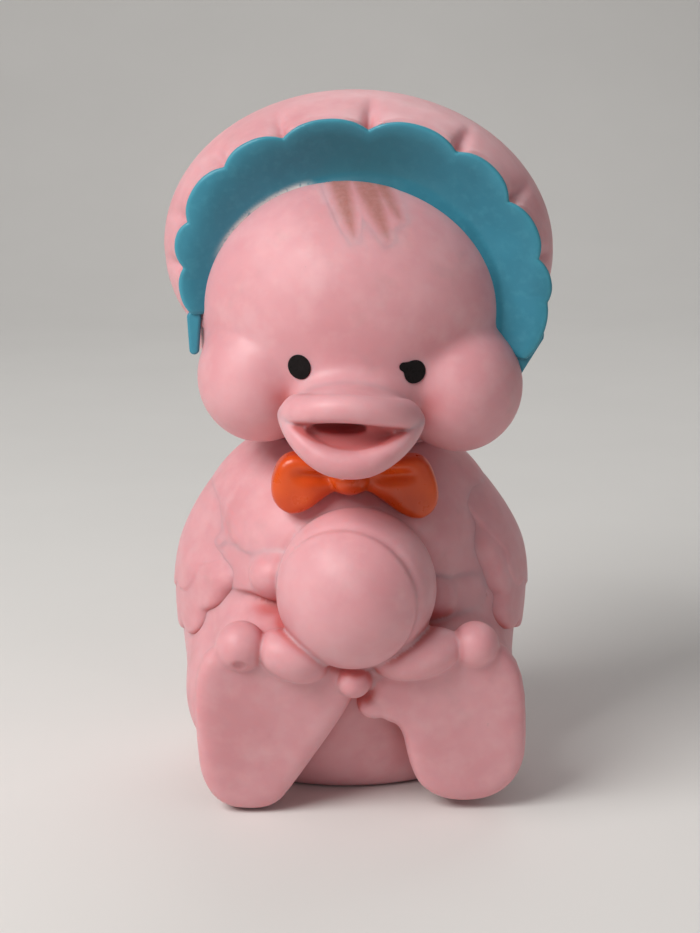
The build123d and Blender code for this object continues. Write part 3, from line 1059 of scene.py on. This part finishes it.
def orange_paint():
    """Thick semi-gloss paint, with painted shade that darkens it in the folds."""
    n = Nodes("orange_paint", 0.3, coat=0.12, subsurface=0.12, radius=(1.0, 0.35, 0.1), scale=0.0012)
    n.set("Coat Roughness", 0.22)
    base = n.mix(n.curve(n.noise(7), (0.35, 0), (0.7, 1)), (0.72, 0.088, 0.004), (0.60, 0.058, 0.003))
    # Painted shade: darker where the bow is enclosed.
    fold_shade = n.curve(n.mark("crease"), (0.35, 0), (0.8, 0.75))
    colour = n.mix(fold_shade, base, (0.42, 0.035, 0.004))
    thin = n.curve(n.noise(2.2, 5), (0.62, 0), (0.80, 0.35))
    colour = n.mix(thin, colour, (0.74, 0.17, 0.03))
    waves = n.bump(n.noise(1.8, 3), 0.06, 0.4)
    return n.finish(colour, n.curve(n.noise(3, 3), (0.3, 0.24), (0.7, 0.42)), waves)


def black_paint():
    n = Nodes("black_paint", 0.3)
    n.set("Specular IOR Level", 0.1)
    colour = n.mix(n.noise(1.2, 3), (0.006, 0.005, 0.005), (0.014, 0.011, 0.011))
    waves = n.bump(n.noise(0.9, 2), 0.05, 0.4)
    return n.finish(colour, n.curve(n.noise(1.0, 2), (0.3, 0.24), (0.7, 0.36)), waves)


def brown_paint():
    """A thin sprayed coat that fades into the rubber at its edges."""
    n = rubber_nodes("brown_paint")
    grain = n.curve(n.noise(0.9, 4), (0.3, 0.75), (0.7, 1.0))
    cover = n.times(n.mark("cover"), grain)
    return rubber_finish(n, n.mix(cover, rubber_colour(n), (0.36, 0.135, 0.095)))


def moulded_plastic(name, light, dark, roughness, coat=0.0):
    n = Nodes(name, roughness, coat=coat)
    colour = n.mix(n.curve(n.noise(2.4, 4), (0.35, 0), (0.75, 1)), light, dark)
    waves = n.bump(n.noise(0.5, 2), 0.02, 0.4)
    rough = n.curve(n.noise(1.6, 3), (0.3, roughness - 0.06), (0.7, roughness + 0.08))
    return n.finish(colour, rough, waves)


RUBBER = pink_rubber()
BLUE = blue_paint()
ORANGE = orange_paint()
BLACK = black_paint()
BROWN = brown_paint()
PLASTIC = moulded_plastic("white_plastic", (0.80, 0.79, 0.74), (0.68, 0.66, 0.60), 0.42)
FILM = moulded_plastic("reed_film", (0.74, 0.72, 0.66), (0.62, 0.60, 0.55), 0.24, coat=0.3)


# -------- pieces


def lined(name, skin, box, step, pose, material, marks, shade=None):
    """A closed piece of its own, with marks worked out by functions of its points.

    shade is the field whose slope gives the normals, if it isn't the piece's own skin.
    """
    points, quads, _ = largest_shell(*contour([skin], box[0], box[1], step))
    corner = unit_rows(slope_of(shade or skin, points))[quads].reshape(-1, 3)
    values = {key: mark(points) for key, mark in marks.items()}
    return mesh_piece(name, points, quads, pose, material, corner, values)


def put(piece, body, node):
    """The piece rides on a body and stands for a CAD node, whose own part is hidden."""
    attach(piece, body)
    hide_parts(node)


# The pieces of each blended skin: the corners of each one's grid, and the grid's step.
HEAD_PIECES = {
    "face_skin": ((-35, -29, 65), (34, 34, 121), 0.60),
    "bill_upper": ((-18, -41, 70), (17, -10, 89), 0.40),
    "bill_lower": ((-16, -41, 64.5), (15, -8, 79), 0.40),
}
BODY_PIECES = {
    "body_skin": ((-36, -34, -1), (36, 37, 67), 0.62),
    "ball": ((-19, -42, 20), (19, -4, 63), 0.50),
    "hand_right": ((-37, -26, 34), (-5, 6, 53), 0.42),
    "hand_left": ((4, -26, 29), (37, 6, 49), 0.42),
    "foot_right": ((-34, -36, -1), (8, -6, 42), 0.42),
    "foot_left": ((-6, -36, -1), (34, -6, 42), 0.42),
}
BOW_PIECES = {
    "bow_knot": ((-6, -25, 57), (5, -12, 67), 0.28),
    "bow_loop_right": ((-17, -25, 53), (0, -11, 69), 0.28),
    "bow_loop_left": ((-2, -25, 52), (18, -11, 69), 0.28),
}


def make_group(pieces, skin, forms, body, pose, material, least_shade=None):
    """One blended skin, cut apart where its forms meet. What is on the body gets its own copy of its
    mesh.
    """
    for index, (name, (low, high, step)) in enumerate(pieces.items()):
        region = region_of(forms, index)
        piece = moulded(name, skin, (low, high), step, pose, material, region, least_shade=least_shade)
        put(piece, body, name)
        if body == "body":
            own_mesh(piece)


def make_bonnet():
    crown = moulded(
        "bonnet_crown", crown_skin, ((-38.5, -17, 70.5), (38.5, 41.5, 131.5)), 0.60, HEAD_POSE, RUBBER
    )
    put(crown, "head", "bonnet_crown")

    # How far in from the scalloped rim a point lies, 0 on the rim; it sets where the painted highlight
    # lies.
    def edge(p):
        radius, angle = polar(p)
        return np.clip((scallop_radius(angle) - radius) / 3.0, 0, 1)

    # Where the painted highlight lies: along the lining's lip against the head, on one side only.
    def lip_highlight(p):
        angle = polar(p)[1]
        inner = np.exp(-((head_skin(p) / 0.55) ** 2))
        return inner * ease(-angle, 25, 35) * (1 - ease(-angle, 70, 85))

    def shade(p):
        angle = polar(p)[1]
        return np.exp(-((angle / 45) ** 2)) * edge(p)

    lining = lined(
        "bonnet_lining", lining_skin, ((-37.5, -18, 80), (35.5, -5, 128)), 0.42, HEAD_POSE, BLUE,
        {"edge": edge, "lip_highlight": lip_highlight, "shade": shade},
    )
    put(lining, "head", "bonnet_lining")
    for name, (top, end, wide, narrow, front) in TIES.items():

        def ribbon(p, top=top, end=end, wide=wide, narrow=narrow, front=front):
            flat = p * (1, 0, 1)
            sheet = np.abs(p[:, 1] - front - TIE_THICK / 2) - TIE_THICK / 2
            return meet(capsule(flat, top, end, wide, narrow), sheet, 1.0)

        low = np.minimum(top, end) - wide - 1 + (0, front - 1, 0)
        high = np.maximum(top, end) + wide + 1 + (0, front + TIE_THICK + 1, 0)
        piece = lined(
            name, ribbon, (low, high), 0.22, HEAD_POSE, BLUE,
            # A faint painted highlight over the whole tie.
            {"edge": lambda p: np.full(len(p), 0.4)},
        )
        put(piece, "head", name)


def make_marks():
    """Eyes and hair, thin coats of paint on the face."""
    for name, (x, z, _, half_height, _) in EYES.items():
        reach = half_height + 1.2
        box = ((x - reach, -29, z - reach), (x + reach, -19, z + reach))
        piece = lined(name, partial(eye_coat, name), box, 0.14, HEAD_POSE, BLACK, {})
        put(piece, "head", name)

    hair = lined(
        "forelock", hair_coat, ((-9, -26, 104), (12, -10, 118)), 0.22, HEAD_POSE, BROWN,
        {
            "cover": lambda p: 0.8 * ease(hair_depth(p), -1.0, 1.3),
            # Painted shade in the face's creases, under the hair too.
            "crease": lambda p: hollow(head_skin, p, unit_rows(slope_of(head_skin, p)), CREASE_SHADE_REACH),
        },
        head_skin,
    )
    put(hair, "head", "forelock")


def make_wings():
    for name, side in (("wing_right", -1), ("wing_left", 1)):
        low, high = sorted((side * WING_ROOT, side * 38))
        skin = wing_skin(name)

        # Wing and body together: the painted shade of the creases is worked out from them, so it also
        # fills the crease under the wing's edge.
        def whole(p, skin=skin):
            return np.minimum(skin(p), body_skin(p))

        box = ((low, -17, 23), (high, 34, 62))
        piece = moulded(name, skin, box, 0.48, BODY_POSE, RUBBER, wing_back, whole)
        put(piece, "left_wing" if side > 0 else "right_wing", name)


def finish_squeaker():
    """The squeaker's CAD shapes are right, so they stay, with moulded plastic and film."""
    strip = ("reed_root", "reed_tongue")
    for name in ("squeaker_cup", "squeaker_cap", "reed_tube", "reed_clamp", "reed_shim", *strip):
        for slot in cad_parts[name].material_slots:
            slot.material = FILM if name in strip else PLASTIC


# -------- stage, light and camera


def make_floor():
    """A pale floor that runs up into a wall far behind."""
    size, wall_y, wall_top, bend, facets = 3.0, 0.9, 2.5, 0.35, 12
    profile = [(-size, 0.0), (wall_y - bend, 0.0)]
    for i in range(1, facets + 1):
        a = math.radians(90 * i / facets)
        profile.append((wall_y - bend + bend * math.sin(a), bend - bend * math.cos(a)))
    profile.append((wall_y, wall_top))
    verts = [(x, y, z) for y, z in profile for x in (-size, size)]
    faces = [(2 * i, 2 * i + 1, 2 * i + 3, 2 * i + 2) for i in range(len(profile) - 1)]
    mesh = bpy.data.meshes.new("floor")
    mesh.from_pydata(verts, [], faces)
    mesh.polygons.foreach_set("use_smooth", [True] * len(faces))
    floor = bpy.data.objects.new("floor", mesh)
    bpy.context.scene.collection.objects.link(floor)
    n = Nodes("floor_paper", 0.85)
    shade = n.mix(n.noise(60, 2), (0.74, 0.73, 0.71), (0.78, 0.77, 0.75))
    mesh.materials.append(n.finish(shade, n.curve(n.noise(40, 2), (0.3, 0.8), (0.7, 0.9))))


def area_light(name, place, target, size, watts, colour):
    light = bpy.data.lights.new(name, "AREA")
    light.shape = "RECTANGLE"
    light.size, light.size_y = size
    light.energy = watts
    light.color = colour
    lamp = bpy.data.objects.new(name, light)
    lamp.location = place
    lamp.rotation_euler = (Vector(target) - Vector(place)).to_track_quat("-Z", "Y").to_euler()
    bpy.context.scene.collection.objects.link(lamp)


def make_light():
    middle = (0.0, 0.0, 0.065)
    area_light("key", (-0.42, -0.36, 0.54), middle, (0.45, 0.35), 5.1, (1.0, 0.985, 0.965))
    area_light("fill", (0.50, -0.50, 0.30), middle, (0.6, 0.6), 0.25, (0.95, 0.97, 1.0))
    area_light("back", (0.15, 0.55, 0.60), middle, (0.6, 0.4), 1.2, (1.0, 1.0, 1.0))
    world = bpy.data.worlds.new("studio")
    world.use_nodes = True
    sky = next(n for n in world.node_tree.nodes if n.type == "BACKGROUND")
    sky.inputs["Color"].default_value = (0.94, 0.91, 0.90, 1)
    sky.inputs["Strength"].default_value = 0.21
    bpy.context.scene.world = world


CAMERA_TARGET = (-2.34, 8.25, 58.25)
CAMERA_DISTANCE = 390.0
CAMERA_ELEVATION = 13.0
CAMERA_LENS = 77.2


def make_camera():
    data = bpy.data.cameras.new("camera")
    data.lens = CAMERA_LENS
    data.sensor_width = 36.0
    up = math.radians(CAMERA_ELEVATION)
    back = Vector((0, -math.cos(up), math.sin(up)))
    camera = bpy.data.objects.new("camera", data)
    camera.location = (Vector(CAMERA_TARGET) + back * CAMERA_DISTANCE) * MM
    camera.rotation_euler = (-back).to_track_quat("-Z", "Y").to_euler()
    bpy.context.scene.collection.objects.link(camera)
    bpy.context.scene.camera = camera


bpy.context.scene.view_settings.view_transform = "Standard"
make_floor()
make_light()
make_camera()
make_group(HEAD_PIECES, head_skin, head_forms, "head", HEAD_POSE, RUBBER, mouth_shade)
make_bonnet()
make_marks()
make_group(BODY_PIECES, body_skin, body_forms, "body", BODY_POSE, RUBBER)
make_wings()
make_group(BOW_PIECES, bow_skin, bow_forms, "body", BODY_POSE, ORANGE)
finish_squeaker()
